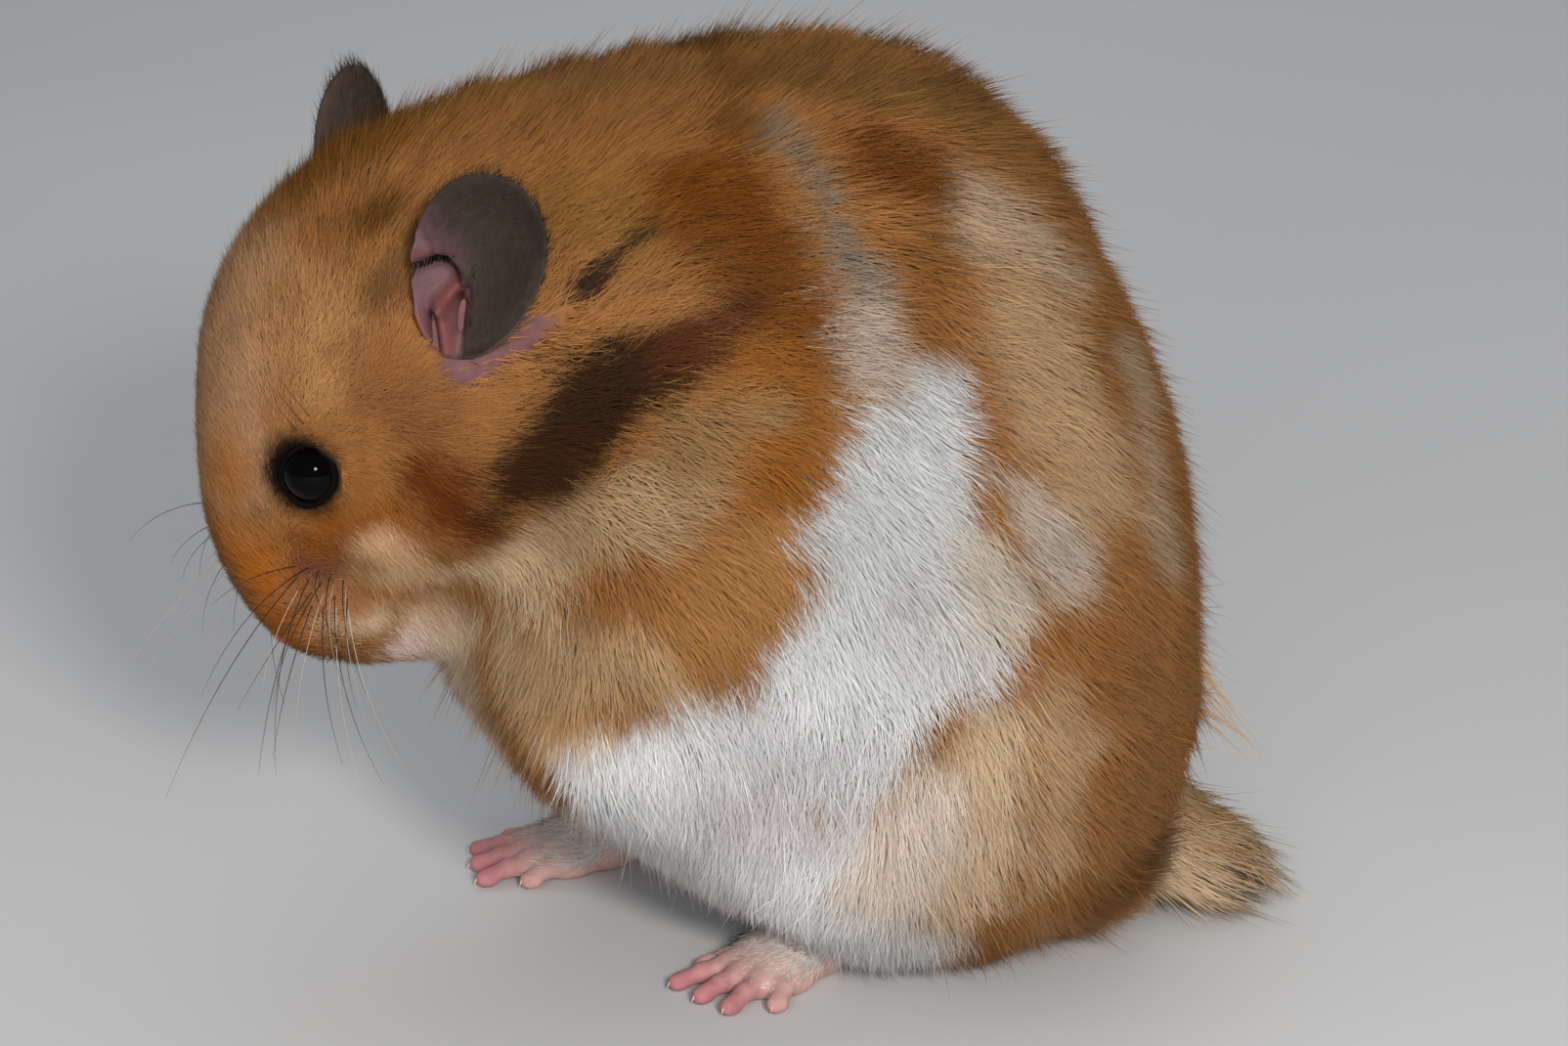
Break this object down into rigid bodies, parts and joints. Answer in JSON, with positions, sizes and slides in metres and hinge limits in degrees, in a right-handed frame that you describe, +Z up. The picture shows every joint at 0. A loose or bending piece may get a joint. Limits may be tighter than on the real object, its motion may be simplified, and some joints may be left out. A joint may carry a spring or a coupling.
{
  "type": "syrian hamster",
  "caption": "Life-size still model of a long-coated Syrian hamster, hunched on its hind feet and rump with its head bowed and its forepaws gathered under the chin.",
  "frame": {"origin": "the middle of the whole animal's footprint, on the floor it sits on", "axes": "+X from the head towards the rump, +Y towards the animal's right side, +Z up"},
  "size_m": [0.1006, 0.0636, 0.087],
  "materials": {
    "coat": "soft, dense fur, golden brown with white and cream",
    "ear_skin": "thin skin with very fine dark hair",
    "bare_skin": "bare pink skin",
    "eye": "wet gloss, nearly black"
  },
  "bodies": {
    "root": {"head": "coat", "neck": "coat", "trunk": "coat", "tail": "coat", "foreleg_left": "coat", "foreleg_right": "coat", "forepaw_left": "bare_skin", "forepaw_right": "bare_skin", "hind_leg_left": "coat", "hind_leg_right": "coat", "hind_foot_left": "bare_skin", "hind_foot_right": "bare_skin", "ear_left": "ear_skin", "ear_right": "ear_skin", "eye_left": "eye", "eye_right": "eye"}
  },
  "joints": []
}
